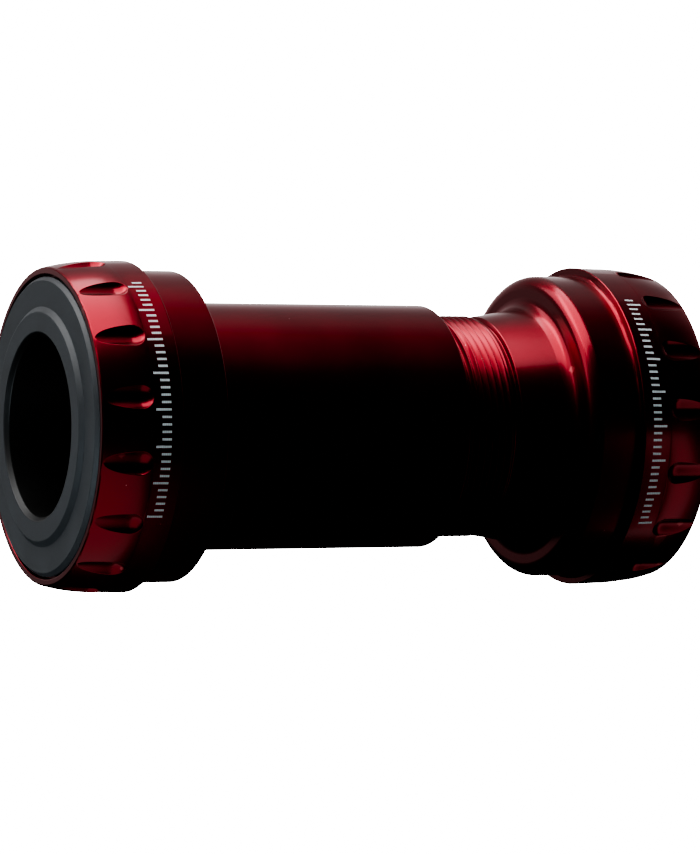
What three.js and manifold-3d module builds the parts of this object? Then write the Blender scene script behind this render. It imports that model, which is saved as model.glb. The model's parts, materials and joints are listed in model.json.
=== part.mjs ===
// Outboard bottom bracket for a 42 mm bore, 68 mm wide frame shell and a 24 mm crank spindle.
// Two cups screw into each other through the shell: one carries a long internally threaded sleeve,
// the other the matching male thread. Each head holds a 25 x 37 x 7 mm ball bearing.
// Millimetres. X is the spindle axis, the sleeve cup is at -X, Z is up, and the origin is the
// centre of the whole assembly.
import * as THREE from 'three';
import { mergeVertices } from 'three/addons/utils/BufferGeometryUtils.js';
import Module from 'manifold-3d';

const wasm = await Module();
wasm.setup();

// ---- driving dimensions -------------------------------------------------------------------
const SHELL_WIDTH = 68;
const FLANGE_X = SHELL_WIDTH / 2; // inboard face of each head
const HEAD_LENGTH = 11; // flange face to rim
const RIM_X = FLANGE_X + HEAD_LENGTH;

const SEAT_R = 21; // pilots that fill the shell's 42 mm bore
const HEAD_R = 22.3; // at the flange face
const CROWN_R = 22.2; // at the start of the crown
const RIM_R = 21.3;
const CROWN_START_X = 37.9; // the head narrows from here to the rim along a shallow curve
const RIM_BORE_R = 20.3; // counterbore that the dust cover turns in
const COVER_RECESS_X = RIM_X - 1.2; // floor of that counterbore
const STEP_X = 27.1; // inboard end of the sleeve side's pilot
const SHOULDER_X = 26.6; // inboard end of the threaded side's pilot, which is more rounded
const EDGE_BREAK = 0.2;

const NOTCH_COUNT = 16;
const NOTCH_CUTTER_R = 2;
const NOTCH_FLOOR_R = 21.42;
const NOTCH_END_X = 38.1; // rounded inner end of each notch
const SLEEVE_NOTCH_PHASE = 8.8; // degrees, about X from -Y towards +Z
const THREAD_NOTCH_PHASE = 4.3;

const SLEEVE_R = 16.75;
const SLEEVE_FILLET_R = 0.5;
const SLEEVE_BORE_R = 14.6;
const MOUTH_X = 10.3; // open end of the sleeve
const FEMALE_R = 15.5; // bore that clears the male crests
const FEMALE_DEPTH = 19.3;
const SEAL_GROOVE_R = 16.05; // groove for the rubber ring, near the mouth
const SEAL_GROOVE_FROM = 8.2;
const SEAL_GROOVE_TO = 9.6;

const THREAD_PITCH = 1;
const THREAD_CREST_R = 15.35;
const THREAD_ROOT_R = 14.75;
const THREAD_START_X = 0.3;
const THREAD_END_X = 18.3;
const RELIEF_WIDTH = 0.5; // plain groove between the thread and the neck
const NECK_SMALL_R = 15.25;
const NECK_LARGE_R = 16.2;
const NECK_END_X = 24.6;
const NECK_FILLET_R = 1.8;
const SHOULDER_EDGE_R = 1.8;
const THREAD_CUP_BORE_R = 13.3;
const BORE_TAPER_START_X = 31.6; // inboard of each bearing the bore narrows to the tube
const BORE_TAPER_END_X = 26.4;

const BEARING_X = 39.5; // middle of each bearing
const BEARING_HALF = 3.5;
const BEARING_OUTER_R = 18.5;
const BEARING_BORE_R = 12.5;
const BEARING_STOP_R = 17.3; // bore inboard of the bearing, which leaves a shoulder for its outer race
const RACE_OUTER_LAND_R = 16.9;
const RACE_INNER_LAND_R = 14.1;
const RACE_CORNER = 0.3;
const BALL_R = 1.75;
const BALL_PITCH_R = 15.5;
const BALL_COUNT = 17;
const BALL_PLAY = 0.2;

const COVER_R = 20;
const COVER_FACE_X = RIM_X + 0.4;
const COVER_CHAMFER = 0.5;
const COVER_BACK_X = RIM_X - 0.6;
const HUB_FACE_X = RIM_X + 1;
const HUB_STEP_R = 15.3;
const HUB_STEP_WIDTH = 0.7;
const SPINDLE_R = 12.05;
const SPINDLE_LEAD = 0.6; // chamfer at the mouth of the bore
const LIP_SEAL_INNER_R = 15.2;
const LIP_SEAL_THICKNESS = 0.6;
const LIP_ROOT_WIDTH = 1.2; // the lip narrows from this, measured along the radius
const LIP_TIP_WIDTH = 0.3;

const FIT_GAP = 0.05; // radial gap left at every press fit
const FACE_GAP = 0.1; // axial gap between pieces that stand face to face
const SIDES = 28; // facets round every turned piece, so that nested pieces line up
const CUTTER_SIDES = 12;
const CUTTER_OVERRUN = 2; // how far each notch cutter runs out past the rim

// ---- colours ------------------------------------------------------------------------------
const finish = (color, roughness, metalness) => ({ color, roughness, metalness });
const RED_ANODISED = finish(0x5c0714, 0.3, 0.9);
const BLACK_PLASTIC = finish(0x232527, 0.5, 0);
const BLACK_RUBBER = finish(0x141414, 0.85, 0);
const BEARING_STEEL = finish(0xb9bcc0, 0.18, 1);
const CAGE_NYLON = finish(0xcfc4a4, 0.6, 0);

const group = new THREE.Group();

// ---- helpers ------------------------------------------------------------------------------
const radians = THREE.MathUtils.degToRad;

// Keeps positions only and shares the vertices, so that a shell is one closed body.
function closed(geometry) {
  geometry.deleteAttribute('normal');
  geometry.deleteAttribute('uv');
  return mergeVertices(geometry, 1e-4);
}

// A ring turned about X from a closed outline of [radius, x] points, in either direction.
function turned(outline) {
  const points = outline.map(([r, x]) => new THREE.Vector2(r, x));
  if (THREE.ShapeUtils.area(points) < 0) {
    points.reverse();
  }
  points.push(points[0].clone());
  const lathe = new THREE.LatheGeometry(points, SIDES);
  lathe.rotateZ(-Math.PI / 2);
  return closed(lathe);
}

// Points of an arc in the [radius, x] plane, angles in degrees from the +radius direction.
function arc(centreR, centreX, radius, fromDeg, toDeg, steps) {
  const points = [];
  for (let i = 0; i <= steps; i += 1) {
    const angle = radians(THREE.MathUtils.lerp(fromDeg, toDeg, i / steps));
    points.push([centreR + radius * Math.cos(angle), centreX + radius * Math.sin(angle)]);
  }
  return points;
}

const mirrored = (outline) => outline.map(([r, x]) => [r, -x]);

function toManifold(geometry) {
  return new wasm.Manifold(new wasm.Mesh({
    numProp: 3,
    vertProperties: new Float32Array(geometry.attributes.position.array),
    triVerts: new Uint32Array(geometry.index.array),
  }));
}

function fromManifold(solid) {
  const mesh = solid.getMesh();
  const geometry = new THREE.BufferGeometry();
  geometry.setAttribute('position', new THREE.BufferAttribute(new Float32Array(mesh.vertProperties), 3));
  geometry.setIndex(new THREE.BufferAttribute(new Uint32Array(mesh.triVerts), 1));
  return geometry;
}

function cutAway(blank, cutters) {
  let solid = toManifold(blank);
  for (const cutter of cutters) {
    solid = solid.subtract(toManifold(cutter));
  }
  return fromManifold(solid);
}

function addPart(name, geometry, look) {
  const mesh = new THREE.Mesh(geometry, new THREE.MeshStandardMaterial(look));
  mesh.name = name;
  group.add(mesh);
  return mesh;
}

// ---- cup heads ----------------------------------------------------------------------------
// Outline shared by both heads, from the pilot's outboard end round the head to the wall inboard
// of the bearing. Written for the +X side.
function headOutline() {
  const bearingStopX = BEARING_X - BEARING_HALF - FIT_GAP;
  const crown = [];
  for (let i = 0; i <= 3; i += 1) {
    const along = i / 3;
    const x = THREE.MathUtils.lerp(CROWN_START_X, RIM_X - EDGE_BREAK, along);
    crown.push([CROWN_R - (CROWN_R - RIM_R) * along ** 2, x]);
  }
  return [
    [SEAT_R, FLANGE_X],
    [HEAD_R - EDGE_BREAK, FLANGE_X],
    [HEAD_R, FLANGE_X + EDGE_BREAK],
    ...crown,
    [RIM_R - EDGE_BREAK, RIM_X],
    [RIM_BORE_R, RIM_X],
    [RIM_BORE_R, COVER_RECESS_X],
    [BEARING_OUTER_R + FIT_GAP, COVER_RECESS_X],
    [BEARING_OUTER_R + FIT_GAP, bearingStopX],
    [BEARING_STOP_R, bearingStopX],
    [BEARING_STOP_R, BORE_TAPER_START_X],
  ];
}

// Ball-nosed cutters parallel to the axis, one for each wrench notch. Written for the +X side.
function notchCutters(side, phaseDeg) {
  const axisR = NOTCH_FLOOR_R + NOTCH_CUTTER_R;
  const surfaceDrop = axisR - CROWN_R;
  const noseX = NOTCH_END_X + Math.sqrt(NOTCH_CUTTER_R ** 2 - surfaceDrop ** 2);
  const length = RIM_X + CUTTER_OVERRUN - noseX;
  const nose = [];
  for (let i = 0; i <= 3; i += 1) {
    const angle = (Math.PI / 2) * (i / 3);
    nose.push(new THREE.Vector2(NOTCH_CUTTER_R * Math.sin(angle), -NOTCH_CUTTER_R * Math.cos(angle)));
  }
  nose.push(new THREE.Vector2(NOTCH_CUTTER_R, length));
  nose.push(new THREE.Vector2(0, length));
  nose[0].x = 0;

  const cutters = [];
  for (let i = 0; i < NOTCH_COUNT; i += 1) {
    const angle = radians(phaseDeg + (360 / NOTCH_COUNT) * i);
    const cutter = new THREE.LatheGeometry(nose, CUTTER_SIDES);
    cutter.rotateZ(side > 0 ? -Math.PI / 2 : Math.PI / 2);
    cutter.translate(side * noseX, -axisR * Math.cos(angle), axisR * Math.sin(angle));
    cutters.push(closed(cutter));
  }
  return cutters;
}

// ---- sleeve cup ---------------------------------------------------------------------------
function sleeveCup() {
  const outline = [
    ...mirrored(headOutline()),
    [SLEEVE_BORE_R, -BORE_TAPER_END_X],
    [SLEEVE_BORE_R, MOUTH_X - FEMALE_DEPTH - 1],
    [FEMALE_R, MOUTH_X - FEMALE_DEPTH],
    [FEMALE_R, SEAL_GROOVE_FROM],
    [SEAL_GROOVE_R, SEAL_GROOVE_FROM],
    [SEAL_GROOVE_R, SEAL_GROOVE_TO],
    [FEMALE_R, SEAL_GROOVE_TO],
    [FEMALE_R, MOUTH_X - EDGE_BREAK],
    [FEMALE_R + EDGE_BREAK, MOUTH_X],
    [SLEEVE_R - EDGE_BREAK, MOUTH_X],
    [SLEEVE_R, MOUTH_X - EDGE_BREAK],
    ...arc(SLEEVE_R + SLEEVE_FILLET_R, SLEEVE_FILLET_R - STEP_X, SLEEVE_FILLET_R, 180, 270, 2),
    [SEAT_R - EDGE_BREAK, -STEP_X],
    [SEAT_R, -STEP_X - EDGE_BREAK],
  ];
  const blank = turned(outline);
  return cutAway(blank, notchCutters(-1, SLEEVE_NOTCH_PHASE));
}
addPart('sleeve_cup', sleeveCup(), RED_ANODISED);

// ---- threaded cup -------------------------------------------------------------------------
// Crest and root rings of the male thread, from the shoulder end to the inner end.
function threadOutline() {
  const turns = Math.round((THREAD_END_X - THREAD_START_X) / THREAD_PITCH);
  const points = [];
  for (let i = 0; i < turns; i += 1) {
    const crestX = THREAD_END_X - THREAD_PITCH * (i + 0.5);
    points.push([THREAD_ROOT_R, crestX + THREAD_PITCH / 2]);
    points.push([THREAD_CREST_R, crestX]);
  }
  points.push([THREAD_ROOT_R, THREAD_START_X]);
  return points;
}

function threadCup() {
  const outline = [
    ...headOutline(),
    [THREAD_CUP_BORE_R, BORE_TAPER_END_X],
    [THREAD_CUP_BORE_R, THREAD_START_X],
    ...threadOutline().reverse(),
    [NECK_SMALL_R, THREAD_END_X + RELIEF_WIDTH],
    [NECK_LARGE_R, NECK_END_X],
    ...arc(NECK_LARGE_R + NECK_FILLET_R, SHOULDER_X - NECK_FILLET_R, NECK_FILLET_R, 170, 90, 4),
    ...arc(SEAT_R - SHOULDER_EDGE_R, SHOULDER_X + SHOULDER_EDGE_R, SHOULDER_EDGE_R, -90, 0, 3),
  ];
  const blank = turned(outline);
  return cutAway(blank, notchCutters(1, THREAD_NOTCH_PHASE));
}
addPart('thread_cup', threadCup(), RED_ANODISED);

// ---- rubber ring inside the sleeve's mouth ------------------------------------------------
const SEAL_RING_HALF_WIDTH = 0.55;
const SEAL_RING_HALF_DEPTH = 0.25;

function mouthSealRing() {
  const middleX = (SEAL_GROOVE_FROM + SEAL_GROOVE_TO) / 2;
  const middleR = (SEAL_GROOVE_R + THREAD_CREST_R) / 2;
  const outline = [];
  for (let i = 0; i < 6; i += 1) {
    const angle = radians(30 + 60 * i);
    outline.push([
      middleR + SEAL_RING_HALF_DEPTH * Math.cos(angle),
      middleX + SEAL_RING_HALF_WIDTH * Math.sin(angle),
    ]);
  }
  return turned(outline);
}
addPart('mouth_seal_ring', mouthSealRing(), BLACK_RUBBER);

// ---- bearings -----------------------------------------------------------------------------
// Bearing pieces are written about x = 0 and moved to each side.
const GROOVE_R = BALL_R + BALL_PLAY;

function outerRace() {
  const half = THREE.MathUtils.radToDeg(Math.acos((RACE_OUTER_LAND_R - BALL_PITCH_R) / GROOVE_R));
  return turned([
    [RACE_OUTER_LAND_R, -BEARING_HALF],
    [BEARING_OUTER_R - RACE_CORNER, -BEARING_HALF],
    [BEARING_OUTER_R, -BEARING_HALF + RACE_CORNER],
    [BEARING_OUTER_R, BEARING_HALF - RACE_CORNER],
    [BEARING_OUTER_R - RACE_CORNER, BEARING_HALF],
    [RACE_OUTER_LAND_R, BEARING_HALF],
    ...arc(BALL_PITCH_R, 0, GROOVE_R, half, -half, 4),
  ]);
}

function innerRace() {
  const half = THREE.MathUtils.radToDeg(Math.acos((BALL_PITCH_R - RACE_INNER_LAND_R) / GROOVE_R));
  return turned([
    [BEARING_BORE_R, -BEARING_HALF + RACE_CORNER],
    [BEARING_BORE_R + RACE_CORNER, -BEARING_HALF],
    [RACE_INNER_LAND_R, -BEARING_HALF],
    ...arc(BALL_PITCH_R, 0, GROOVE_R, 180 + half, 180 - half, 4),
    [RACE_INNER_LAND_R, BEARING_HALF],
    [BEARING_BORE_R + RACE_CORNER, BEARING_HALF],
    [BEARING_BORE_R, BEARING_HALF - RACE_CORNER],
  ]);
}

// Crown cage: a ring with a round pocket for each ball, open towards one side.
const CAGE_INNER_R = 14.6;
const CAGE_OUTER_R = 16.4;
const CAGE_BACK_X = -2.5;
const CAGE_OPEN_X = 1.1;
const CAGE_POCKET_R = 2.25;

function ballPlace(index) {
  const angle = (2 * Math.PI * index) / BALL_COUNT;
  return new THREE.Vector3(0, -BALL_PITCH_R * Math.cos(angle), BALL_PITCH_R * Math.sin(angle));
}

function ballCage(side) {
  const ring = turned([
    [CAGE_INNER_R, side * CAGE_BACK_X],
    [CAGE_OUTER_R, side * CAGE_BACK_X],
    [CAGE_OUTER_R, side * CAGE_OPEN_X],
    [CAGE_INNER_R, side * CAGE_OPEN_X],
  ]);
  const pockets = [];
  for (let i = 0; i < BALL_COUNT; i += 1) {
    const pocket = new THREE.IcosahedronGeometry(CAGE_POCKET_R);
    pocket.translate(...ballPlace(i));
    pockets.push(closed(pocket));
  }
  return cutAway(ring, pockets);
}

// Thin rubber-faced washer that closes one side of a bearing.
const SEAL_INNER_R = RACE_INNER_LAND_R + 0.2;
const SEAL_NEAR = 2.65;
const SEAL_FAR = 3.3;
const SEAL_BEVEL_WIDTH = 0.6;

function bearingSeal() {
  return turned([
    [SEAL_INNER_R, SEAL_NEAR],
    [RACE_OUTER_LAND_R - FIT_GAP, SEAL_NEAR],
    [RACE_OUTER_LAND_R - FIT_GAP, SEAL_FAR],
    [SEAL_INNER_R + SEAL_BEVEL_WIDTH, SEAL_FAR],
    [SEAL_INNER_R, (SEAL_NEAR + SEAL_FAR) / 2],
  ]);
}

// ---- dust covers and their lip seals ------------------------------------------------------
// Moulded disc with a thin tube that lines the inner race down to the 24 mm spindle.
function dustCover() {
  const tubeR = BEARING_BORE_R - FIT_GAP;
  const tubeEndX = BEARING_X - BEARING_HALF + FACE_GAP;
  const raceFaceX = BEARING_X + BEARING_HALF + FACE_GAP;
  const collarR = RACE_INNER_LAND_R - FACE_GAP;
  return turned([
    [SPINDLE_R, tubeEndX],
    [tubeR, tubeEndX],
    [tubeR, raceFaceX],
    [collarR, raceFaceX],
    [collarR, COVER_BACK_X],
    [COVER_R, COVER_BACK_X],
    [COVER_R, COVER_FACE_X - COVER_CHAMFER],
    [COVER_R - COVER_CHAMFER, COVER_FACE_X],
    [HUB_STEP_R + HUB_STEP_WIDTH, COVER_FACE_X],
    [HUB_STEP_R, HUB_FACE_X],
    [SPINDLE_R + SPINDLE_LEAD, HUB_FACE_X],
    [SPINDLE_R, HUB_FACE_X - SPINDLE_LEAD],
  ]);
}

// Rubber ring pressed into the counterbore in front of the bearing, with a lip towards the cover.
function coverSeal() {
  const seatX = BEARING_X + BEARING_HALF + FACE_GAP;
  const frontX = seatX + LIP_SEAL_THICKNESS;
  const lipX = COVER_BACK_X - FACE_GAP;
  return turned([
    [LIP_SEAL_INNER_R, seatX],
    [BEARING_OUTER_R, seatX],
    [BEARING_OUTER_R, frontX],
    [LIP_SEAL_INNER_R + LIP_ROOT_WIDTH, frontX],
    [LIP_SEAL_INNER_R + LIP_TIP_WIDTH, lipX],
    [LIP_SEAL_INNER_R, lipX],
  ]);
}

function flipped(geometry) {
  return geometry.clone().rotateZ(Math.PI);
}

for (const [prefix, side] of [['sleeve_side', -1], ['thread_side', 1]]) {
  const place = (name, geometry, look) => {
    addPart(`${prefix}_${name}`, geometry, look).position.x = side * BEARING_X;
  };
  place('outer_race', outerRace(), BEARING_STEEL);
  place('inner_race', innerRace(), BEARING_STEEL);
  place('ball_cage', ballCage(side), CAGE_NYLON);
  place('inboard_bearing_seal', side > 0 ? flipped(bearingSeal()) : bearingSeal(), BLACK_RUBBER);
  place('outboard_bearing_seal', side > 0 ? bearingSeal() : flipped(bearingSeal()), BLACK_RUBBER);
  const cover = dustCover();
  const lip = coverSeal();
  addPart(`${prefix}_dust_cover`, side > 0 ? cover : flipped(cover), BLACK_PLASTIC);
  addPart(`${prefix}_cover_seal`, side > 0 ? lip : flipped(lip), BLACK_RUBBER);
  for (let i = 0; i < BALL_COUNT; i += 1) {
    const ball = closed(new THREE.IcosahedronGeometry(BALL_R, 1));
    const number = String(i + 1).padStart(2, '0');
    const mesh = addPart(`${prefix}_ball_${number}`, ball, BEARING_STEEL);
    mesh.position.copy(ballPlace(i));
    mesh.position.x = side * BEARING_X;
  }
}

export default group;
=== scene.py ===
"""Looks of the bottom bracket: two deep red anodised cups that screw together, with black covers.

Outlines are in millimetres as (radius, x) pairs, with X along the spindle, and meshes in metres.
"""

import json
import math

import bmesh
import bpy
from mathutils import Matrix, Vector

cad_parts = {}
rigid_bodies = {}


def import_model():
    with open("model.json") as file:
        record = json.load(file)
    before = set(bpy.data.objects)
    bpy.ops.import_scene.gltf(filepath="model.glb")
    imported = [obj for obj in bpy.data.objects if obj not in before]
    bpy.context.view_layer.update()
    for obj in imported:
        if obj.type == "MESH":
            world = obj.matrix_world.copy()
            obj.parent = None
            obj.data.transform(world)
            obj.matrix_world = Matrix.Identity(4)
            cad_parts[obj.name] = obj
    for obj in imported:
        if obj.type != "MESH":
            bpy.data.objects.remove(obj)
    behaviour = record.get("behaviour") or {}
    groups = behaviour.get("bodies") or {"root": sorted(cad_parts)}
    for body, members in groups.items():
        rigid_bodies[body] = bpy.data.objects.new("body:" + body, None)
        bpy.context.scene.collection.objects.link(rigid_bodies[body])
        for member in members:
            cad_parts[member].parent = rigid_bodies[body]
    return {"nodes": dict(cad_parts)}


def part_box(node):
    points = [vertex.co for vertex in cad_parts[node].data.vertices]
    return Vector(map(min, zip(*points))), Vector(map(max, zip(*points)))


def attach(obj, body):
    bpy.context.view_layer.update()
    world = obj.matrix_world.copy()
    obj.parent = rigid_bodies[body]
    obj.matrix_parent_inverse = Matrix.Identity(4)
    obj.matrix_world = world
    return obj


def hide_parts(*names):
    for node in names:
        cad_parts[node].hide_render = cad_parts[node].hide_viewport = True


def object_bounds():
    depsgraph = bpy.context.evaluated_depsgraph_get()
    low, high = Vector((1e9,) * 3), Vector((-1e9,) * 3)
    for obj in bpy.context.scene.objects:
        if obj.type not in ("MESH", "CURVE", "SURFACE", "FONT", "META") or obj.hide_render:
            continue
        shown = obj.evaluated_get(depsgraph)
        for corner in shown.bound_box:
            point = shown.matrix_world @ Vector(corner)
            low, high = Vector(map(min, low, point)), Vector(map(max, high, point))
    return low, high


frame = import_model()
cad_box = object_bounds()

MM = 0.001
TAU = 2 * math.pi
WELD = 2e-7  # metres within which points are one


# ---- sizes, from the frame where it shows them ----------------------------------------------
def low_mm(node, axis):
    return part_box(node)[0][axis] / MM


def high_mm(node, axis):
    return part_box(node)[1][axis] / MM


X, Z = 0, 2
RIM_X = high_mm("thread_cup", X)
HEAD_R = high_mm("thread_cup", Z)
MOUTH_X = high_mm("sleeve_cup", X)
THREAD_START_X = low_mm("thread_cup", X)
HUB_FACE_X = high_mm("thread_side_dust_cover", X)
TUBE_END_X = low_mm("thread_side_dust_cover", X)
COVER_R = high_mm("thread_side_dust_cover", Z)
BEARING_NEAR_X = low_mm("thread_side_outer_race", X)
BEARING_FAR_X = high_mm("thread_side_outer_race", X)
BEARING_R = high_mm("thread_side_outer_race", Z)
LAND_R = high_mm("thread_side_inner_race", Z)
SEAL_R = high_mm("thread_side_inboard_bearing_seal", Z)
LIP_NEAR_X = low_mm("thread_side_cover_seal", X)
LIP_FAR_X = high_mm("thread_side_cover_seal", X)
CAGE_R = high_mm("thread_side_ball_cage", Z)
BALL_R = (high_mm("thread_side_ball_01", X) - low_mm("thread_side_ball_01", X)) / 2
RING_R = high_mm("mouth_seal_ring", Z)
RING_NEAR_X = low_mm("mouth_seal_ring", X)
RING_FAR_X = high_mm("mouth_seal_ring", X)
BEARING_X = (BEARING_NEAR_X + BEARING_FAR_X) / 2
BALL_NAMES = ("thread_side_ball_0", "thread_side_ball_1")
BALL_COUNT = sum(name.startswith(BALL_NAMES) for name in frame["nodes"])

# ---- other sizes: heads and pilots of both cups ---------------------------------------------
HEAD_WIDTH = 11.0
FLANGE_X = RIM_X - HEAD_WIDTH
SEAT_R = 21.0
STEP_X = 27.1  # inboard end of the sleeve side's pilot
SHOULDER_X = 26.6  # inboard end of the threaded side's pilot
SEAM_X = STEP_X + 3  # station on the pilot where a cup's outlines meet
CROWN_R = 22.2
CROWN_START_X = 37.9
CROWN_END_X = RIM_X - 0.2
CROWN_DROP = 0.9
RIM_BORE_R = 20.3
COVER_RECESS_X = RIM_X - 1.2
BEARING_PLAY = 0.05
BEARING_STOP_R = 17.3
BORE_TAPER_START_X = 31.6
BORE_TAPER_END_X = 26.4
BORE_TAPER_BEND_R = 1.5

# ---- notches, cut by a ball-nosed cutter that runs out through the rim ----------------------
NOTCH_COUNT = 16
NOTCH_CUTTER_R = 2.0
NOTCH_FLOOR_R = 21.32
NOTCH_END_X = 38.1
NOTCH_PHASE = {-1: math.radians(8.8), 1: math.radians(4.3)}
NOTCH_AXIS_R = NOTCH_FLOOR_R + NOTCH_CUTTER_R
NOTCH_HALF_WIDTH = math.sqrt(NOTCH_CUTTER_R ** 2 - (NOTCH_AXIS_R - CROWN_R) ** 2)
NOSE_X = NOTCH_END_X + NOTCH_HALF_WIDTH
SECTOR = TAU / NOTCH_COUNT

# ---- thread, neck and sleeve ----------------------------------------------------------------
THREAD_PITCH = 1.0
THREAD_CREST_R = 15.35
THREAD_ROOT_R = 14.75
THREAD_END_X = 18.3
THREAD_PLAY = 0.08
FEMALE_ROOT_R = THREAD_CREST_R + THREAD_PLAY
FEMALE_CREST_R = THREAD_ROOT_R + THREAD_PLAY
FEMALE_START_X = MOUTH_X - 19.3
FEMALE_END_X = 7.9
SLEEVE_R = 16.75
SLEEVE_BORE_R = 14.6
MOUTH_BORE_R = FEMALE_ROOT_R + 0.05
SEAL_GROOVE_R = 16.05
SEAL_GROOVE_X = (8.2, 9.6)
NECK_SMALL_R = 15.25
NECK_LARGE_R = 16.2
NECK_END_X = 24.6
NECK_FILLET_R = 1.8
SHOULDER_EDGE_R = 1.8
THREAD_CUP_BORE_R = 13.3

# ---- covers and bearings --------------------------------------------------------------------
COVER_BACK_X = RIM_X - 0.6
COVER_FACE_X = RIM_X + 0.4
COVER_CHAMFER = 0.5
HUB_STEP_R = 15.3
HUB_STEP_WIDTH = 0.7
SPINDLE_R = 12.05
SPINDLE_CHAMFER = 0.6
TUBE_R = 12.45
BALL_PITCH_R = 15.5
GROOVE_R = BALL_R + 0.03
HALF_RACE = BEARING_FAR_X - BEARING_X
RACE_BORE_R = 12.5
OUTER_LAND_R = 16.9
CAGE_BORE_R = 14.6

# ---- fineness of the meshes -----------------------------------------------------------------
TURNED_COLUMNS = 144
COVER_COLUMNS = 288
HOLD = 0.03  # distance of the extra rows that keep a round edge from bending its flat neighbours


# ---- outlines -------------------------------------------------------------------------------
def rounded(corners, steps=5):
    """Outline points of a closed loop of (radius, x, corner radius): each corner becomes an arc."""
    outline = []
    count = len(corners)
    for i, (r, x, corner_r) in enumerate(corners):
        here = Vector((r, x))
        if corner_r == 0:
            outline.append((r, x))
            continue
        before = (Vector(corners[i - 1][:2]) - here).normalized()
        after = (Vector(corners[(i + 1) % count][:2]) - here).normalized()
        half = before.angle(after) / 2
        reach = corner_r / math.tan(half)
        centre = here + (before + after).normalized() * (corner_r / math.sin(half))
        start = here + before * reach - centre
        sweep = start.angle_signed(here + after * reach - centre)
        outline.append(tuple(here + before * (reach + HOLD)))
        for k in range(steps + 1):
            turn = Matrix.Rotation(-sweep * k / steps, 2)
            outline.append(tuple(centre + turn @ start))
        outline.append(tuple(here + after * (reach + HOLD)))
    return outline


# ---- meshes ---------------------------------------------------------------------------------
def piece_from(bm, name, material, smooth=True):
    """Turns a finished bmesh into an object of the scene."""
    mesh = bpy.data.meshes.new(name)
    bm.to_mesh(mesh)
    bm.free()
    if smooth:
        mesh.shade_smooth()
    mesh.materials.append(material)
    piece = bpy.data.objects.new(name, mesh)
    bpy.context.scene.collection.objects.link(piece)
    return piece


def round_axis(r, x, angle):
    """A point in metres. Angles run round the X axis from -Y towards +Z."""
    return Vector((x, -r * math.cos(angle), r * math.sin(angle))) * MM


class Shell:
    """Collects rows of points round the X axis and joins neighbouring rows with quads."""

    def __init__(self, columns, phase=0.0):
        self.bm = bmesh.new()
        self.columns = columns
        self.phase = phase

    def angle(self, column):
        return self.phase + TAU * column / self.columns

    def point(self, r, x, angle):
        return self.bm.verts.new(round_axis(r, x, angle))

    def row(self, r, x):
        return [self.point(r, x, self.angle(j)) for j in range(self.columns)]

    def join(self, first, second):
        for j in range(self.columns):
            k = (j + 1) % self.columns
            self.bm.faces.new((first[j], first[k], second[k], second[j]))

    def rows(self, outline):
        return [self.row(r, x) for r, x in outline]

    def join_all(self, rows, closed=False):
        for first, second in zip(rows, rows[1:]):
            self.join(first, second)
        if closed:
            self.join(rows[-1], rows[0])

    def finish(self, name, material):
        bmesh.ops.remove_doubles(self.bm, verts=self.bm.verts, dist=WELD)
        bmesh.ops.recalc_face_normals(self.bm, faces=self.bm.faces)
        return piece_from(self.bm, name, material)


def turned(name, outline, material, columns=TURNED_COLUMNS):
    """A closed ring turned from an outline of (radius, x)."""
    shell = Shell(columns)
    shell.join_all(shell.rows(outline), closed=True)
    return shell.finish(name, material)


# ---- threads --------------------------------------------------------------------------------
# Height of the thread over one pitch, as (part of the pitch, part of the full height).
THREAD_FORM = ((0.0, 1.0), (0.07, 0.97), (0.13, 0.86), (0.38, 0.1), (0.5, 0.0), (0.62, 0.1),
               (0.87, 0.86), (0.93, 0.97))


def threaded_rows(shell, low, high, root_r, crest_r, limit):
    """A right-handed helical strip between x = low and x = high. Returns its two end rows.

    limit(x, r) trims the radius at each end. Points past an end are laid on it, where they merge.
    Every strip is in step with the start of the male thread, so the two threads mesh.
    """
    per_turn = len(THREAD_FORM)
    origin = THREAD_START_X - THREAD_PITCH * math.ceil((THREAD_START_X - low) / THREAD_PITCH)
    turns = math.ceil((high - origin) / THREAD_PITCH) + 1
    rows = []
    for i in range(turns * per_turn + 1):
        part, height = THREAD_FORM[i % per_turn]
        start = origin + THREAD_PITCH * (i // per_turn + part)
        r = root_r + (crest_r - root_r) * height
        row = []
        for j in range(shell.columns):
            x = start - THREAD_PITCH * j / shell.columns
            x = min(max(x, low), high)
            row.append(shell.point(limit(x, r), x, shell.angle(j)))
        rows.append(row)
    for i in range(len(rows) - 1):
        for j in range(shell.columns):
            if j + 1 < shell.columns:
                corners = (rows[i][j], rows[i][j + 1], rows[i + 1][j + 1], rows[i + 1][j])
            elif i >= per_turn:
                # The strip's last column meets its first one, a turn further on.
                corners = (rows[i][j], rows[i - per_turn][0], rows[i + 1 - per_turn][0], rows[i + 1][j])
            else:
                continue
            shell.bm.faces.new(corners)
    return shell.row(limit(low, root_r), low), shell.row(limit(high, root_r), high)


# ---- cups -----------------------------------------------------------------------------------
def head_r(x):
    """Radius of the head: a faint taper from the flange face, then the crown."""
    if x < CROWN_START_X:
        return CROWN_R + (HEAD_R - CROWN_R) * (CROWN_START_X - x) / (CROWN_START_X - FLANGE_X)
    along = (x - CROWN_START_X) / (CROWN_END_X - CROWN_START_X)
    return CROWN_R - CROWN_DROP * along ** 2


NARROWEST = 0.004  # radians from a notch's middle to its edge where there is no notch
EDGE = 0.0022  # radians between the columns that keep a notch's edge crisp
EDGE_PART = 0.05  # the same as a part of a notch's half width, where that is less
EDGE_COLUMNS = 3
INSIDE = (0.0, 0.25, 0.5, 0.72, 0.9)  # columns in a notch, as parts of its half width
OUTSIDE = (0.5,)  # columns from its edge to the middle of the land beside it
CUP_COLUMNS = 2 * (len(INSIDE) + EDGE_COLUMNS + len(OUTSIDE)) * NOTCH_COUNT
NOSE_STEPS = 10
LAND_STEPS = 12
LAND_SPACING = 0.85  # below 1, the rows draw together towards the rim


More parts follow.
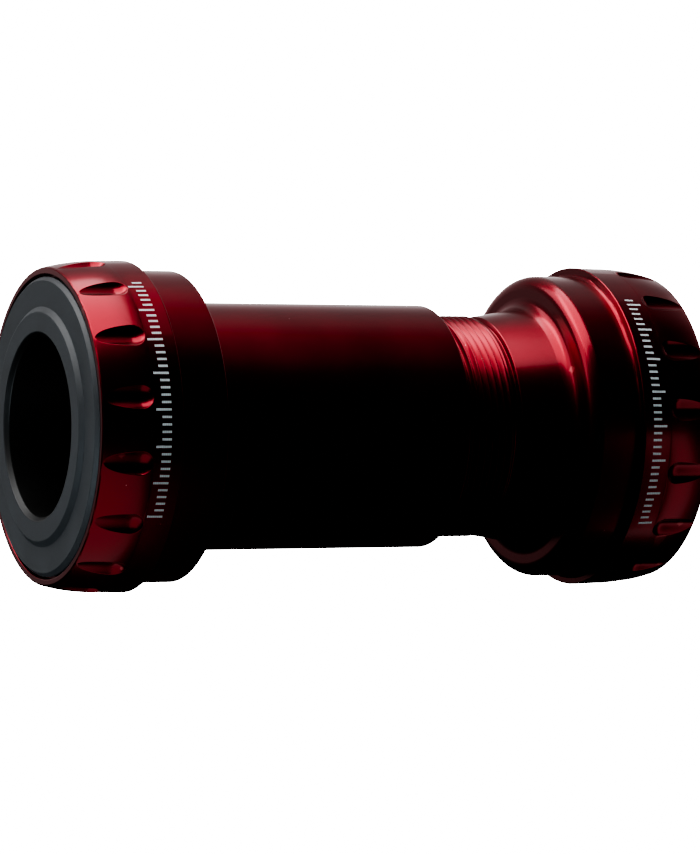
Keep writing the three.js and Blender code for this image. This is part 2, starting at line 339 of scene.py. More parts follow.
def cutter_r(x):
    """Radius of the ball-nosed cutter where it crosses station x."""
    if x >= NOSE_X:
        return NOTCH_CUTTER_R
    return math.sqrt(max(0.0, NOTCH_CUTTER_R ** 2 - (NOSE_X - x) ** 2))


def notch_half_angle(r, x):
    """Angle from a notch's middle to its edge on a surface of radius r, or the narrowest one."""
    c = cutter_r(x)
    cosine = (NOTCH_AXIS_R ** 2 + r ** 2 - c ** 2) / (2 * NOTCH_AXIS_R * r)
    if cosine >= 1:
        return NARROWEST
    return max(NARROWEST, math.acos(cosine))


def notched_row(shell, side, r, x):
    """A row of the head. Its columns gather at the edges of the notches."""
    cutter = cutter_r(x)
    edge = notch_half_angle(r, x)
    land = edge + EDGE
    half = SECTOR / 2
    offsets = [edge * part for part in INSIDE]
    offsets += [edge - min(EDGE, edge * EDGE_PART), edge, land]
    offsets += [land + (half - land) * part for part in OUTSIDE]
    sector = [-offset for offset in reversed(offsets[1:])] + offsets + [half]
    row = []
    for i in range(NOTCH_COUNT):
        for offset in sector:
            across = abs(NOTCH_AXIS_R * math.sin(offset))
            depth_r = r
            if abs(offset) < edge and cutter > across:
                cut_r = NOTCH_AXIS_R * math.cos(offset) - math.sqrt(cutter ** 2 - across ** 2)
                depth_r = min(r, cut_r)
            angle = NOTCH_PHASE[side] + SECTOR * i + offset
            row.append(shell.point(depth_r, side * x, angle))
    return row


def crown_stations():
    """Rows of the crown: arc-spaced round the notches' inner ends, then on up to the rim."""
    stations = [CROWN_START_X - 0.6, CROWN_START_X, NOTCH_END_X - 0.04]
    for k in range(NOSE_STEPS + 1):
        turn = math.pi / 2 * k / NOSE_STEPS
        stations.append(NOTCH_END_X + NOTCH_HALF_WIDTH * (1 - math.cos(turn)))
    last = RIM_X - 0.6
    for k in range(1, LAND_STEPS + 1):
        stations.append(NOSE_X + (last - NOSE_X) * (k / LAND_STEPS) ** LAND_SPACING)
    return stations


def head_rows(shell, side):
    """Rows from the pilot round the head to the bore inboard of the bearing.

    Any row that is large enough to meet a notch has notched columns. A row's columns may shift
    against its neighbour's only on a flat face, where the shift can't be seen.
    """
    bearing_stop_x = BEARING_NEAR_X - BEARING_PLAY
    bearing_seat_r = BEARING_R + BEARING_PLAY
    band_end_x = CROWN_START_X - 1.2
    last_x = RIM_X - 0.5
    outline = rounded([
        (SEAT_R, SEAM_X, 0),
        (SEAT_R, FLANGE_X, 0.45),
        (HEAD_R, FLANGE_X, 0.18),
        (head_r(band_end_x), band_end_x, 0),
        (head_r(last_x), last_x, 0),
        (head_r(RIM_X), RIM_X, 0.3),
        (RIM_BORE_R, RIM_X, 0.15),
        (RIM_BORE_R, COVER_RECESS_X, 0.1),
        (bearing_seat_r, COVER_RECESS_X, 0.12),
        (bearing_seat_r, bearing_stop_x, 0.1),
        (BEARING_STOP_R, bearing_stop_x, 0.2),
        (BEARING_STOP_R, BORE_TAPER_START_X, BORE_TAPER_BEND_R),
        (BEARING_STOP_R - 1, BORE_TAPER_END_X, 0),
    ])[1:-1]
    rows = []
    crown_done = False
    for r, x in outline:
        if r < NOTCH_FLOOR_R - 0.1:
            rows.append(shell.row(r, side * x))
            continue
        if x > CROWN_START_X and not crown_done:
            for station in crown_stations():
                rows.append(notched_row(shell, side, head_r(station), station))
            crown_done = True
        rows.append(notched_row(shell, side, r, x))
    return rows


def cup(name, side, material, bore, thread, outside):
    """One closed surface: the head, the bore, the thread and the outside back to the head."""
    shell = Shell(CUP_COLUMNS, NOTCH_PHASE[side] - SECTOR / 2)
    head = head_rows(shell, side)
    first, last = threaded_rows(shell, *thread)
    shell.join_all(head + shell.rows(bore) + [first])
    shell.join_all([last] + shell.rows(outside) + [head[0]])
    return shell.finish(name, material)


def thread_cup(material):
    entry_r = THREAD_ROOT_R - 0.35
    relief_r = THREAD_ROOT_R - 0.1
    entry_slope = 1.1
    run_out_slope = 1.3

    def limit(x, r):
        entry = entry_r + (x - THREAD_START_X) * entry_slope
        run_out = relief_r + (THREAD_END_X - x) * run_out_slope
        return min(r, entry, run_out)

    bore = rounded([
        (BEARING_STOP_R, BORE_TAPER_START_X, 0),
        (THREAD_CUP_BORE_R, BORE_TAPER_END_X, BORE_TAPER_BEND_R),
        (THREAD_CUP_BORE_R, THREAD_START_X, 0.25),
        (entry_r, THREAD_START_X, 0),
    ])[1:-1]
    thread = (THREAD_START_X, THREAD_END_X, THREAD_ROOT_R, THREAD_CREST_R, limit)
    neck_slope = (NECK_LARGE_R - NECK_SMALL_R) / (NECK_END_X - THREAD_END_X)
    neck_foot_r = NECK_LARGE_R + neck_slope * (SHOULDER_X - NECK_END_X)
    neck = rounded([
        (relief_r, THREAD_END_X, 0),
        (relief_r, THREAD_END_X + 0.35, 0.1),
        (NECK_SMALL_R, THREAD_END_X + 0.6, 0.15),
        (neck_foot_r, SHOULDER_X, NECK_FILLET_R),
        (SEAT_R, SHOULDER_X, SHOULDER_EDGE_R),
        (SEAT_R, SEAM_X, 0),
    ], steps=8)[1:-1]
    return cup("thread_cup_turned", 1, material, bore, thread, neck)


def sleeve_cup(material):
    end_slope = 1.2

    def limit(x, r):
        nearest_end = min(x - FEMALE_START_X, FEMALE_END_X - x)
        return max(r, FEMALE_ROOT_R - nearest_end * end_slope)

    bore = rounded([
        (BEARING_STOP_R, -BORE_TAPER_START_X, 0),
        (SLEEVE_BORE_R, -BORE_TAPER_END_X, BORE_TAPER_BEND_R),
        (SLEEVE_BORE_R, FEMALE_START_X - 1.4, 0.3),
        (FEMALE_ROOT_R, FEMALE_START_X - 0.5, 0.1),
        (FEMALE_ROOT_R, FEMALE_START_X, 0),
    ])[1:-1]
    thread = (FEMALE_START_X, FEMALE_END_X, FEMALE_CREST_R, FEMALE_ROOT_R, limit)
    near, far = SEAL_GROOVE_X
    outside = rounded([
        (FEMALE_ROOT_R, FEMALE_END_X, 0),
        (MOUTH_BORE_R, near, 0.05),
        (SEAL_GROOVE_R, near, 0.08),
        (SEAL_GROOVE_R, far, 0.08),
        (MOUTH_BORE_R, far, 0.05),
        (MOUTH_BORE_R, MOUTH_X, 0.25),
        (SLEEVE_R, MOUTH_X, 0.2),
        (SLEEVE_R, -STEP_X, 0.5),
        (SEAT_R, -STEP_X, 0.22),
        (SEAT_R, -SEAM_X, 0),
    ])[1:-1]
    return cup("sleeve_cup_turned", -1, material, bore, thread, outside)


# ---- covers, seals and bearings -------------------------------------------------------------
def part_name(side, rest):
    return f"{SIDE_NAMES[side]}_{rest}"


def on_side(outline, side):
    return outline if side > 0 else [(r, -x) for r, x in outline]


def dust_cover(side, material):
    race_x = BEARING_FAR_X + 0.1
    collar_r = LAND_R - 0.1
    outline = rounded([
        (SPINDLE_R, TUBE_END_X, 0.08),
        (TUBE_R, TUBE_END_X, 0.15),
        (TUBE_R, race_x, 0.05),
        (collar_r, race_x, 0.1),
        (collar_r, COVER_BACK_X, 0.15),
        (COVER_R, COVER_BACK_X, 0.15),
        (COVER_R, COVER_FACE_X - COVER_CHAMFER, 0.1),
        (COVER_R - COVER_CHAMFER, COVER_FACE_X, 0.12),
        (HUB_STEP_R + HUB_STEP_WIDTH, COVER_FACE_X, 0.15),
        (HUB_STEP_R, HUB_FACE_X, 0.25),
        (SPINDLE_R + SPINDLE_CHAMFER, HUB_FACE_X, 0.2),
        (SPINDLE_R, HUB_FACE_X - SPINDLE_CHAMFER, 0.25),
    ])
    return turned(part_name(side, "cover_moulding"), on_side(outline, side), material, COVER_COLUMNS)


def cover_seal(side, material):
    """A flat rubber ring with a lip that tapers towards the cover."""
    lip_r = 15.2
    lip_top_r = lip_r + 0.3
    web_r = lip_r + 1.2
    front_x = LIP_NEAR_X + 0.6
    outline = rounded([
        (lip_r, LIP_NEAR_X, 0.1),
        (BEARING_R, LIP_NEAR_X, 0.12),
        (BEARING_R, front_x, 0.12),
        (web_r, front_x, 0.3),
        (lip_top_r, LIP_FAR_X, 0.06),
        (lip_r, LIP_FAR_X, 0.06),
    ])
    return turned(part_name(side, "lip_seal"), on_side(outline, side), material)


def at_bearing(outline, side, flip=1):
    return [(r, side * (BEARING_X + flip * x)) for r, x in outline]


def groove(from_deg, to_deg, steps=14):
    """Ball track: an arc about the middle of the ball."""
    points = []
    for k in range(steps + 1):
        angle = math.radians(from_deg + (to_deg - from_deg) * k / steps)
        points.append((BALL_PITCH_R + GROOVE_R * math.cos(angle), GROOVE_R * math.sin(angle)))
    return points


def outer_race(side, material):
    half = math.degrees(math.acos((OUTER_LAND_R - BALL_PITCH_R) / GROOVE_R))
    edge = rounded([
        (OUTER_LAND_R, 0, 0),
        (OUTER_LAND_R, -HALF_RACE, 0.12),
        (BEARING_R, -HALF_RACE, 0.3),
        (BEARING_R, HALF_RACE, 0.3),
        (OUTER_LAND_R, HALF_RACE, 0.12),
    ])[1:]
    outline = edge + groove(half, -half)
    return turned(part_name(side, "outer_race_ground"), at_bearing(outline, side), material)


def inner_race(side, material):
    half = math.degrees(math.acos((BALL_PITCH_R - LAND_R) / GROOVE_R))
    edge = rounded([
        (LAND_R, 0, 0),
        (LAND_R, HALF_RACE, 0.12),
        (RACE_BORE_R, HALF_RACE, 0.3),
        (RACE_BORE_R, -HALF_RACE, 0.3),
        (LAND_R, -HALF_RACE, 0.12),
    ])[1:]
    outline = edge + groove(180 + half, 180 - half)
    return turned(part_name(side, "inner_race_ground"), at_bearing(outline, side), material)


def bearing_seal(side, place, material):
    """A rubber washer with a shallow dished web and a lip on the inner race."""
    lip_r = LAND_R + 0.2
    back_x, web_back_x, rim_back_x = 2.7, 2.85, 2.66
    face_x, web_x, lip_x = 3.28, 3.1, 2.95
    outline = rounded([
        (lip_r, back_x, 0.08),
        (15.2, back_x, 0.1),
        (15.5, web_back_x, 0.1),
        (16.2, web_back_x, 0.1),
        (16.4, rim_back_x, 0.1),
        (SEAL_R, rim_back_x, 0.08),
        (SEAL_R, face_x, 0.15),
        (16.3, face_x, 0.15),
        (16.1, web_x, 0.15),
        (15.1, web_x, 0.15),
        (14.9, face_x, 0.15),
        (14.6, face_x, 0.15),
        (lip_r, lip_x, 0.06),
    ], steps=3)
    flip = 1 if place == "outboard" else -1
    return turned(part_name(side, place + "_seal_washer"), at_bearing(outline, side, flip), material)


BALL_STEP = TAU / BALL_COUNT
CAGE_BACK_X = -2.4  # from the middle of the bearing, as are the next two
CAGE_PRONG_X = 1.1
CAGE_SADDLE_X = 0.2
CAGE_POCKET_R = BALL_R + 0.12
CAGE_PRONG_WIDTH = 0.35
COLUMNS_PER_BALL = 24
CAGE_STEPS_LONG = 10
CAGE_STEPS_ACROSS = 5


def cage_top(r, angle):
    """Height of the cage's open side: a round pocket, a prong beside it, then a lower saddle."""
    off_ball = angle - round(angle / BALL_STEP) * BALL_STEP
    across = r * math.sin(off_ball)
    inward = r * math.cos(off_ball) - BALL_PITCH_R
    gap = CAGE_POCKET_R ** 2 - across ** 2 - inward ** 2
    if gap > 0:
        return -math.sqrt(gap)
    if abs(across) < CAGE_POCKET_R + CAGE_PRONG_WIDTH:
        return CAGE_PRONG_X
    return CAGE_SADDLE_X


def ball_cage(side, material):
    """Crown cage: rows follow its section, and the pockets are pressed into it round each ball."""
    long_parts = [k / CAGE_STEPS_LONG for k in range(CAGE_STEPS_LONG + 1)]
    thickness = CAGE_R - CAGE_BORE_R
    middle_radii = [CAGE_BORE_R + thickness * k / CAGE_STEPS_ACROSS for k in range(1, CAGE_STEPS_ACROSS)]
    section = [(CAGE_BORE_R, part) for part in long_parts]
    section += [(r, 1.0) for r in middle_radii]
    section += [(CAGE_R, part) for part in reversed(long_parts)]
    section += [(r, 0.0) for r in reversed(middle_radii)]
    shell = Shell(COLUMNS_PER_BALL * BALL_COUNT)
    rows = []
    for r, part in section:
        row = []
        for j in range(shell.columns):
            angle = shell.angle(j)
            x = CAGE_BACK_X + (cage_top(r, angle) - CAGE_BACK_X) * part
            row.append(shell.point(r, side * (BEARING_X + x), angle))
        rows.append(row)
    shell.join_all(rows, closed=True)
    return shell.finish(part_name(side, "cage_moulding"), material)


def ball(side, index, material):
    """A ground ball: a subdivided icosahedron pushed out to the sphere."""
    bm = bmesh.new()
    bmesh.ops.create_icosphere(bm, subdivisions=4, radius=BALL_R * MM)
    centre = round_axis(BALL_PITCH_R, side * BEARING_X, BALL_STEP * index)
    bmesh.ops.translate(bm, verts=bm.verts, vec=centre)
    return piece_from(bm, part_name(side, f"ground_ball_{index + 1:02d}"), material)


def mouth_ring(material):
    """A rubber ring of oval section, in the groove inside the sleeve's mouth."""
    half_r = 0.25
    middle_r = RING_R - 0.28
    middle_x = (RING_NEAR_X + RING_FAR_X) / 2
    half_x = (RING_FAR_X - RING_NEAR_X) / 2
    steps = 24
    outline = []
    for k in range(steps):
        angle = TAU * k / steps
        outline.append((middle_r + half_r * math.cos(angle), middle_x + half_x * math.sin(angle)))
    return turned("mouth_ring_moulded", outline, material)


# ---- printed marks --------------------------------------------------------------------------
SCALE_OFFSETS = {-1: (1.75, 3.9), 1: (1.4, 3.5)}  # its two edges, from the flange face
SCALE_DEGREES = {-1: (-33, 57), 1: (-38, 50)}  # where it starts and ends round the axis
SCALE_BARS = 36
BARS_PER_LONG_ONE = 5
SHORT_LENGTH = 0.62
BAR_DEGREES = 0.85
BAR_SUNK = 0.03
BAR_PROUD = 0.012


def add_bar(bm, side, low_x, high_x, middle_deg):
    """A thin closed block that follows the band, two quads wide."""
    corners = []
    for above in (-BAR_SUNK, BAR_PROUD):
        for x in (low_x, high_x):
            for part in (-0.5, 0.0, 0.5):
                angle = math.radians(middle_deg + BAR_DEGREES * part)
                corners.append(bm.verts.new(round_axis(head_r(x) + above, side * x, angle)))
    foot, top, low_end, high_end = (0, 1, 4, 3), (6, 7, 10, 9), (0, 1, 7, 6), (3, 4, 10, 9)
    for quad in (foot, top, low_end, high_end):
        for half in (0, 1):
            bm.faces.new([corners[n + half] for n in quad])
    first_side, second_side = (0, 3, 9, 6), (2, 5, 11, 8)
    for quad in (first_side, second_side):
        bm.faces.new([corners[n] for n in quad])


def printed_scale(side, material):
    """A plain graduated scale printed round the band: thin bars, every fifth one long."""
    low_x, high_x = (FLANGE_X + offset for offset in SCALE_OFFSETS[side])
    from_deg, to_deg = SCALE_DEGREES[side]
    bm = bmesh.new()
    for i in range(SCALE_BARS + 1):
        middle_deg = from_deg + (to_deg - from_deg) * i / SCALE_BARS
        length = 1.0 if i % BARS_PER_LONG_ONE == 0 else SHORT_LENGTH
        add_bar(bm, side, low_x, low_x + (high_x - low_x) * length, middle_deg)
    bmesh.ops.recalc_face_normals(bm, faces=bm.faces)
    return piece_from(bm, part_name(side, "printed_scale"), material, smooth=False)


# ---- materials ------------------------------------------------------------------------------
def map_range(tree, value, low, high, to_low, to_high):
    """Carries low..high over to to_low..to_high and holds the ends."""
    node = tree.nodes.new("ShaderNodeMapRange")
    node.inputs["From Min"].default_value = low
    node.inputs["From Max"].default_value = high
    node.inputs["To Min"].default_value = to_low
    node.inputs["To Max"].default_value = to_high
    tree.links.new(value, node.inputs["Value"])
    return node.outputs["Result"]


def calculate(tree, operation, first, second):
    """A maths node on a linked value and either a second one or a plain number."""
    node = tree.nodes.new("ShaderNodeMath")
    node.operation = operation
    tree.links.new(first, node.inputs[0])
    if isinstance(second, float):
        node.inputs[1].default_value = second
    else:
        tree.links.new(second, node.inputs[1])
    return node.outputs["Value"]


class Shading:
    """A node material with a Principled shader and a few short ways to add detail."""

    def __init__(self, name, **sockets):
        self.material = bpy.data.materials.new(name)
        self.material.use_nodes = True
        self.tree = self.material.node_tree
        self.shader = self.tree.nodes["Principled BSDF"]
        for socket, value in sockets.items():
            self.shader.inputs[socket.replace("_", " ")].default_value = value
        self.coords = self.tree.nodes.new("ShaderNodeTexCoord").outputs["Object"]
        self.bumps = None

    def link(self, output, target):
        self.tree.links.new(output, target)

    def stretched(self, scale):
        mapping = self.tree.nodes.new("ShaderNodeMapping")
        mapping.inputs["Scale"].default_value = scale
        self.link(self.coords, mapping.inputs["Vector"])
        return mapping.outputs["Vector"]

    def noise(self, scale, detail=3.0, roughness=0.5):
        node = self.tree.nodes.new("ShaderNodeTexNoise")
        node.inputs["Scale"].default_value = 1.0
        node.inputs["Detail"].default_value = detail
        node.inputs["Roughness"].default_value = roughness
        vector = self.stretched(scale if isinstance(scale, tuple) else (scale, scale, scale))
        self.link(vector, node.inputs["Vector"])
        return node.outputs["Fac"]

    def ramp(self, value, stops):
        node = self.tree.nodes.new("ShaderNodeValToRGB")
        elements = node.color_ramp.elements
        while len(elements) < len(stops):
            elements.new(0.5)
        for element, (position, color) in zip(elements, stops):
            element.position = position
            element.color = color if len(color) == 4 else (*color, 1)
        self.link(value, node.inputs["Fac"])
        return node.outputs["Color"]

    def ranged(self, value, low, high, to_low, to_high):
        return map_range(self.tree, value, low, high, to_low, to_high)

    def mix(self, factor, first, second):
        node = self.tree.nodes.new("ShaderNodeMix")
        node.data_type = "RGBA"
        self.link(factor, node.inputs["Factor"])
        for socket, value in ((node.inputs[6], first), (node.inputs[7], second)):
            if isinstance(value, tuple):
                socket.default_value = (*value, 1)
            else:
                self.link(value, socket)
        return node.outputs[2]

    def bump(self, height, strength, distance):
        node = self.tree.nodes.new("ShaderNodeBump")
        node.inputs["Strength"].default_value = strength
        node.inputs["Distance"].default_value = distance
        self.link(height, node.inputs["Height"])
        if self.bumps:
            self.link(self.bumps, node.inputs["Normal"])
        self.bumps = node.outputs["Normal"]
        self.link(self.bumps, self.shader.inputs["Normal"])

    def color(self, output):
        self.link(output, self.shader.inputs["Base Color"])

    def roughness(self, output):
        self.link(output, self.shader.inputs["Roughness"])


EMPTY_CELLS = 0.93  # part of the dust's cells that hold no speck
SPECK_FADE = 1.3


def specks(shading, scale, size):
    """Sparse small dots, 1 on a dot and 0 off it. Each lies in its own cell of a cell pattern."""
    cells = shading.tree.nodes.new("ShaderNodeTexVoronoi")
    cells.inputs["Scale"].default_value = 1.0
    shading.link(shading.stretched((scale, scale, scale)), cells.inputs["Vector"])
    near = shading.ranged(cells.outputs["Distance"], size, size * SPECK_FADE, 1.0, 0.0)
    channels = shading.tree.nodes.new("ShaderNodeSeparateColor")
    shading.link(cells.outputs["Color"], channels.inputs["Color"])
    picked = calculate(shading.tree, "GREATER_THAN", channels.outputs["Red"], EMPTY_CELLS)
    return calculate(shading.tree, "MULTIPLY", near, picked)


def anodised_red():
    """Dyed, bead-blasted and clear-sealed aluminium with faint turning marks and crisp edges painted
    lighter pink, partly as wear and partly as a painted highlight.
    """
    look = Shading("red_anodised_aluminium", Metallic=1.0,
                   Coat_Weight=0.5, Coat_Roughness=0.16, Coat_IOR=1.5)
    cloud = look.noise(90.0, 4.0)
    dye = look.ramp(cloud, [(0.3, (0.20, 0.004, 0.013)), (0.7, (0.24, 0.006, 0.017))])
    pointiness = look.tree.nodes.new("ShaderNodeNewGeometry").outputs["Pointiness"]
    # Crisp edges turn lighter pink: partly edge wear, partly a painted highlight where the edges catch
    # the light.
    edge_wear_and_highlight = look.ranged(pointiness, 0.53, 0.6, 0.0, 0.5)
    dye_with_edge_wear_and_highlight = look.mix(edge_wear_and_highlight, dye, (0.55, 0.12, 0.13))
    dust = specks(look, 700.0, 0.05)
    look.color(look.mix(dust, dye_with_edge_wear_and_highlight, (0.42, 0.14, 0.15)))
    lathe_marks = look.noise((9000.0, 60.0, 60.0), 2.0)
    grain = look.noise(5200.0, 2.0, 0.6)
    look.roughness(look.ranged(cloud, 0.25, 0.75, 0.27, 0.33))
    look.bump(lathe_marks, 0.12, 0.00001)
    look.bump(grain, 0.1, 0.00002)
    return look.material


def black_plastic():
    """Charcoal glass-filled moulding with fine grain, a little dust and painted shade that turns the
    bore near black.
    """
    look = Shading("black_moulded_plastic", Specular_IOR_Level=0.5)
    cloud = look.noise(160.0, 5.0)
    outside = look.ramp(cloud, [(0.3, (0.042, 0.045, 0.049)), (0.7, (0.058, 0.062, 0.067))])
    from_axis = look.tree.nodes.new("ShaderNodeVectorMath")
    from_axis.operation = "LENGTH"
    look.link(look.stretched((0.0, 1.0, 1.0)), from_axis.inputs[0])
    # Painted shade: inside the spindle bore the colour goes near black, standing in for the shade of the
    # deep hole.
    outside_painted_bore_shade = look.ranged(from_axis.outputs["Value"], 12.5 * MM, 12.8 * MM, 0.0, 1.0)
    tone_with_painted_bore_shade = look.mix(outside_painted_bore_shade, (0.003, 0.003, 0.003), outside)
    dust = specks(look, 600.0, 0.05)
    look.color(look.mix(dust, tone_with_painted_bore_shade, (0.3, 0.3, 0.3)))
    look.roughness(look.ranged(cloud, 0.25, 0.75, 0.42, 0.52))
    look.bump(look.noise(6500.0, 3.0, 0.6), 0.25, 0.00003)
    look.bump(look.noise(1400.0, 2.0), 0.1, 0.00003)
    return look.material


def black_rubber():
    look = Shading("black_nitrile_rubber", Specular_IOR_Level=0.3)
    cloud = look.noise(260.0, 4.0)
    look.color(look.ramp(cloud, [(0.3, (0.008, 0.008, 0.008)), (0.7, (0.017, 0.016, 0.016))]))
    look.roughness(look.ranged(cloud, 0.25, 0.75, 0.66, 0.85))
    look.bump(look.noise(5000.0, 3.0, 0.7), 0.3, 0.00004)
    return look.material


def bearing_steel():
    """Ground steel: fine marks round the axis and a slight colour drift."""
    look = Shading("ground_bearing_steel", Metallic=1.0)
    cloud = look.noise(120.0, 4.0)
    look.color(look.ramp(cloud, [(0.3, (0.56, 0.56, 0.57)), (0.7, (0.68, 0.68, 0.69))]))
    look.roughness(look.ranged(cloud, 0.25, 0.75, 0.12, 0.22))
    look.bump(look.noise((12000.0, 80.0, 80.0), 2.0), 0.15, 0.000006)
    return look.material


def nylon():
    look = Shading("cage_nylon", Subsurface_Weight=0.15, Subsurface_Scale=0.001)
    cloud = look.noise(220.0, 4.0)
    look.color(look.ramp(cloud, [(0.3, (0.50, 0.43, 0.28)), (0.7, (0.62, 0.55, 0.38))]))
    look.roughness(look.ranged(cloud, 0.25, 0.75, 0.45, 0.6))
    look.bump(look.noise(4000.0, 3.0), 0.15, 0.00003)
    return look.material


def silver_print():
    """Laser-marked bars: pale grey with fine slanted hatching."""
    look = Shading("silver_laser_print")
    hatch = look.tree.nodes.new("ShaderNodeTexWave")
    hatch.inputs["Scale"].default_value = 1.0
    hatch.inputs["Distortion"].default_value = 1.5
    hatch.inputs["Detail"].default_value = 1.0
    look.link(look.stretched((1100.0, 700.0, 900.0)), hatch.inputs["Vector"])
    look.color(look.ramp(hatch.outputs["Fac"], [(0.2, (0.46, 0.51, 0.54)), (0.8, (0.56, 0.62, 0.65))]))
    look.roughness(look.ranged(look.noise(900.0), 0.25, 0.75, 0.45, 0.6))
    look.bump(hatch.outputs["Fac"], 0.2, 0.00001)
    return look.material


# ---- assembly -------------------------------------------------------------------------------
SIDE_NAMES = {-1: "sleeve_side", 1: "thread_side"}
CUP_BODIES = {-1: "sleeve_cup_unit", 1: "thread_cup_unit"}
red = anodised_red()
plastic = black_plastic()
rubber = black_rubber()
steel = bearing_steel()
cage_nylon = nylon()
silver = silver_print()


def stand_for(piece, node, body):
    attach(piece, body)
    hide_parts(node)


stand_for(sleeve_cup(red), "sleeve_cup", "sleeve_cup_unit")
stand_for(thread_cup(red), "thread_cup", "thread_cup_unit")
stand_for(mouth_ring(rubber), "mouth_seal_ring", "mouth_seal")

covers = {side: dust_cover(side, plastic) for side in SIDE_NAMES}
for side, side_name in SIDE_NAMES.items():
    cup_body = CUP_BODIES[side]
    spindle_body = side_name + "_spindle_ring"
    ball_body = side_name + "_ball_set"
    stand_for(covers[side], side_name + "_dust_cover", spindle_body)
    stand_for(cover_seal(side, rubber), side_name + "_cover_seal", cup_body)
    stand_for(outer_race(side, steel), side_name + "_outer_race", cup_body)
    stand_for(inner_race(side, steel), side_name + "_inner_race", spindle_body)
    for place in ("inboard", "outboard"):
        washer = bearing_seal(side, place, rubber)
        stand_for(washer, f"{side_name}_{place}_bearing_seal", cup_body)
    stand_for(ball_cage(side, cage_nylon), side_name + "_ball_cage", ball_body)
    for index in range(BALL_COUNT):
        node = f"{side_name}_ball_{index + 1:02d}"
        stand_for(ball(side, index, steel), node, ball_body)

scales = [printed_scale(side, silver) for side in SIDE_NAMES]
for scale, cup_body in zip(scales, CUP_BODIES.values()):
    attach(scale, cup_body)


# ---- camera, light and floor ----------------------------------------------------------------
SEEN_WHITE = 8.0  # strength that the film-like view transform shows as plain white
CAMERA_DEGREES = (25.026, 1.103, -0.598)  # yaw, pitch and roll
CAMERA_PLACE = (-0.2484, -0.5321, -0.0114)
CAMERA_LENS = 179.91


def add_camera():
    yaw, pitch, roll = (math.radians(a) for a in CAMERA_DEGREES)
    forward = Vector((math.sin(yaw) * math.cos(pitch), math.cos(yaw) * math.cos(pitch), math.sin(pitch)))
    level_right = forward.cross(Vector((0, 0, 1))).normalized()
    level_up = level_right.cross(forward)
    right = level_right * math.cos(roll) + level_up * math.sin(roll)
    up = level_up * math.cos(roll) - level_right * math.sin(roll)
    data = bpy.data.cameras.new("camera")
    data.sensor_width = 36.0
    data.lens = CAMERA_LENS
    data.clip_start = 0.01
    camera = bpy.data.objects.new("camera", data)
    bpy.context.scene.collection.objects.link(camera)
    place = Matrix((right, up, -forward)).transposed().to_4x4()
    place.translation = Vector(CAMERA_PLACE)
    camera.matrix_world = place
    bpy.context.scene.camera = camera


def toward(azimuth, elevation):
    """Unit vector from degrees: azimuth from +Y towards +X, elevation from the horizon up."""
    azimuth, elevation = math.radians(azimuth), math.radians(elevation)
    level = math.cos(elevation)
    return Vector((level * math.sin(azimuth), level * math.cos(azimuth), math.sin(elevation)))


def add_panel(name, aim, direction, distance, size, radiance, roll=0.0):
    """A soft rectangular light that faces its aim point."""
    data = bpy.data.lights.new(name, "AREA")
    data.shape = "RECTANGLE"
    data.size, data.size_y = size
    data.energy = radiance * math.pi * size[0] * size[1]
    light = bpy.data.objects.new(name, data)
    bpy.context.scene.collection.objects.link(light)
    light.location = Vector(aim) + direction * distance
    facing = (-direction).to_track_quat("-Z", "Y").to_matrix().to_4x4()
    light.rotation_euler = (facing @ Matrix.Rotation(math.radians(roll), 4, "Z")).to_euler()
    light.visible_camera = False
    return light


def add_flat_panel(name, low_corner, high_corner, radiance):
    """A level rectangular light between two corners at one height. It faces straight down."""
    size = [high_corner[axis] - low_corner[axis] for axis in (0, 1)]
    middle = (Vector(low_corner) + Vector(high_corner)) / 2
    up = Vector((0, 0, 1))
    return add_panel(name, middle - up, up, 1.0, size, radiance)


def flag_off(light, lit_pieces):
    """Keeps a light on a few pieces only, as black flags do in a studio."""
    group = bpy.data.collections.new(light.name + "_lit")
    for piece in lit_pieces:
        group.objects.link(piece)
    light.light_linking.receiver_collection = group


CEILING = 1.2
CEILING_CORNERS = ((-1.1 * CEILING, -0.6 * CEILING, CEILING), (0.28 * CEILING, 0.58 * CEILING, CEILING))

add_camera()
add_flat_panel("ceiling_softbox", *CEILING_CORNERS, 3.2)
add_panel("side_softbox", (0, 0, 0), toward(-68, 39), 1.8, (1.9, 1.3), 2.0, roll=-25)
add_panel("right_softbox", (0, 0, 0), toward(75, 20), 1.2, (0.8, 0.8), 0.8)
add_panel("low_right_card", (0.081, 0, 0), toward(180, -43), 0.066, (0.027, 0.1), 0.7)
low_left_card = add_panel("low_left_card", (-0.0555, 0, 0), toward(180, -62), 0.063,
                          (0.063, 0.11), 0.6)
flag_off(low_left_card, [piece for piece in bpy.data.objects if piece.name.startswith("sleeve_")])
scale_fill = add_panel("scale_fill", (0, 0, 0), toward(225, -5), 0.6, (0.5, 0.5), 2.2)
cover_fill = add_panel("cover_fill", (-0.045, 0, 0), toward(227, -31), 0.13, (0.1, 0.1), 3.6)
flag_off(scale_fill, scales)
flag_off(cover_fill, [covers[-1]])
cover_fill.data.color = (0.78, 0.93, 1.0)


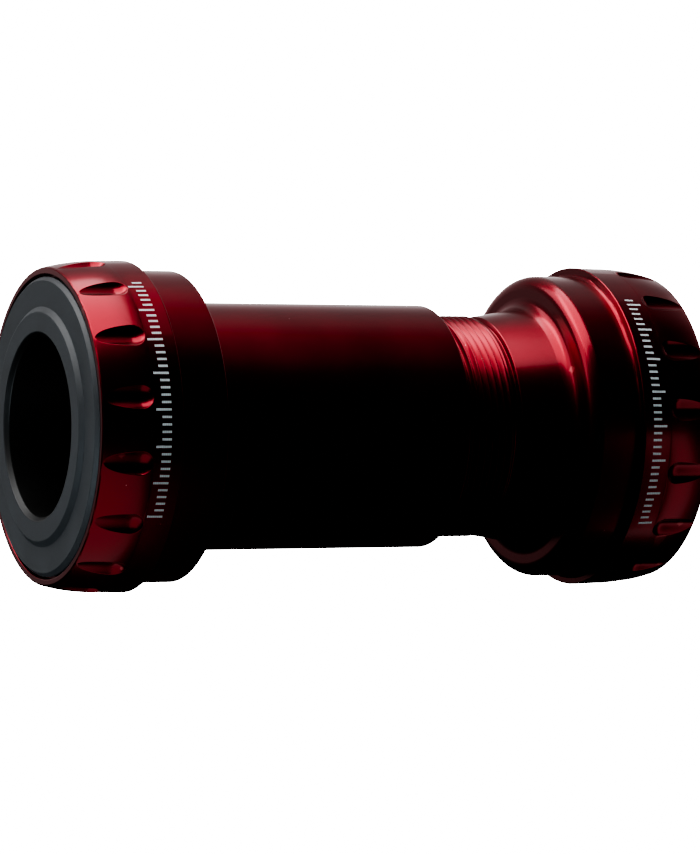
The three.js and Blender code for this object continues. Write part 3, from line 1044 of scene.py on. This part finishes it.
def stage_world():
    """White seen directly. In reflections, a glow low behind the object and a near-dark room."""
    world = bpy.data.worlds.new("studio")
    world.use_nodes = True
    bpy.context.scene.world = world
    tree = world.node_tree
    nodes, links = tree.nodes, tree.links
    nodes.clear()
    output = nodes.new("ShaderNodeOutputWorld")
    white = nodes.new("ShaderNodeBackground")
    white.inputs["Color"].default_value = (1, 1, 1, 1)
    white.inputs["Strength"].default_value = SEEN_WHITE
    room = nodes.new("ShaderNodeBackground")
    mix = nodes.new("ShaderNodeMixShader")
    path = nodes.new("ShaderNodeLightPath")
    coords = nodes.new("ShaderNodeTexCoord")
    split = nodes.new("ShaderNodeSeparateXYZ")
    links.new(coords.outputs["Generated"], split.inputs[0])

    def faded(axis, from_value, to_value, at_from, at_to):
        return map_range(tree, split.outputs[axis], from_value, to_value, at_from, at_to)

    def product(first, second):
        return calculate(tree, "MULTIPLY", first, second)

    def total(first, second):
        return calculate(tree, "ADD", first, second)

    overhead_fade = faded("Z", 0.1, 0.7, 1.0, 0.0)
    table_edge = faded("Z", -0.12, 0.05, 0.0, 1.0)
    behind = faded("Y", 0.3, 0.65, 0.0, 1.0)
    right_half = faded("X", -0.5, 0.3, 0.25, 1.0)
    glow = product(product(overhead_fade, table_edge), product(behind, right_half))
    spill = product(faded("Z", 0.5, 0.75, 0.0, 0.36), faded("Y", -0.15, 0.3, 0.0, 1.0))
    links.new(total(total(glow, spill), 0.012), room.inputs["Strength"])
    room.inputs["Color"].default_value = (1, 1, 1, 1)
    links.new(path.outputs["Is Camera Ray"], mix.inputs["Fac"])
    links.new(room.outputs["Background"], mix.inputs[1])
    links.new(white.outputs["Background"], mix.inputs[2])
    links.new(mix.outputs["Shader"], output.inputs["Surface"])


stage_world()


def add_floor():
    """White to the eye, clear from below and dark to the object, so that it lights no undersides."""
    half = 3.0
    z = cad_box[0][2] - 0.0004
    corners = [(-half, -half, z), (half, -half, z), (half, half, z), (-half, half, z)]
    mesh = bpy.data.meshes.new("floor")
    mesh.from_pydata(corners, [], [(0, 1, 2, 3)])
    material = bpy.data.materials.new("floor_white")
    material.use_nodes = True
    tree = material.node_tree
    shader = tree.nodes["Principled BSDF"]
    shader.inputs["Base Color"].default_value = (0.04, 0.04, 0.04, 1)
    shader.inputs["Roughness"].default_value = 0.9
    glow = tree.nodes.new("ShaderNodeEmission")
    glow.inputs["Strength"].default_value = SEEN_WHITE
    mix = tree.nodes.new("ShaderNodeMixShader")
    path = tree.nodes.new("ShaderNodeLightPath")
    output = tree.nodes["Material Output"]
    tree.links.new(path.outputs["Is Camera Ray"], mix.inputs["Fac"])
    tree.links.new(shader.outputs["BSDF"], mix.inputs[1])
    tree.links.new(glow.outputs["Emission"], mix.inputs[2])
    underside = tree.nodes.new("ShaderNodeBsdfTransparent")
    one_sided = tree.nodes.new("ShaderNodeMixShader")
    geometry = tree.nodes.new("ShaderNodeNewGeometry")
    tree.links.new(geometry.outputs["Backfacing"], one_sided.inputs["Fac"])
    tree.links.new(mix.outputs["Shader"], one_sided.inputs[1])
    tree.links.new(underside.outputs["BSDF"], one_sided.inputs[2])
    tree.links.new(one_sided.outputs["Shader"], output.inputs["Surface"])
    mesh.materials.append(material)
    floor = bpy.data.objects.new("floor", mesh)
    bpy.context.scene.collection.objects.link(floor)
    floor.visible_glossy = False
    floor.visible_shadow = False


add_floor()
bpy.context.scene.view_settings.view_transform = "AgX"
bpy.context.scene.view_settings.look = "AgX - Very High Contrast"
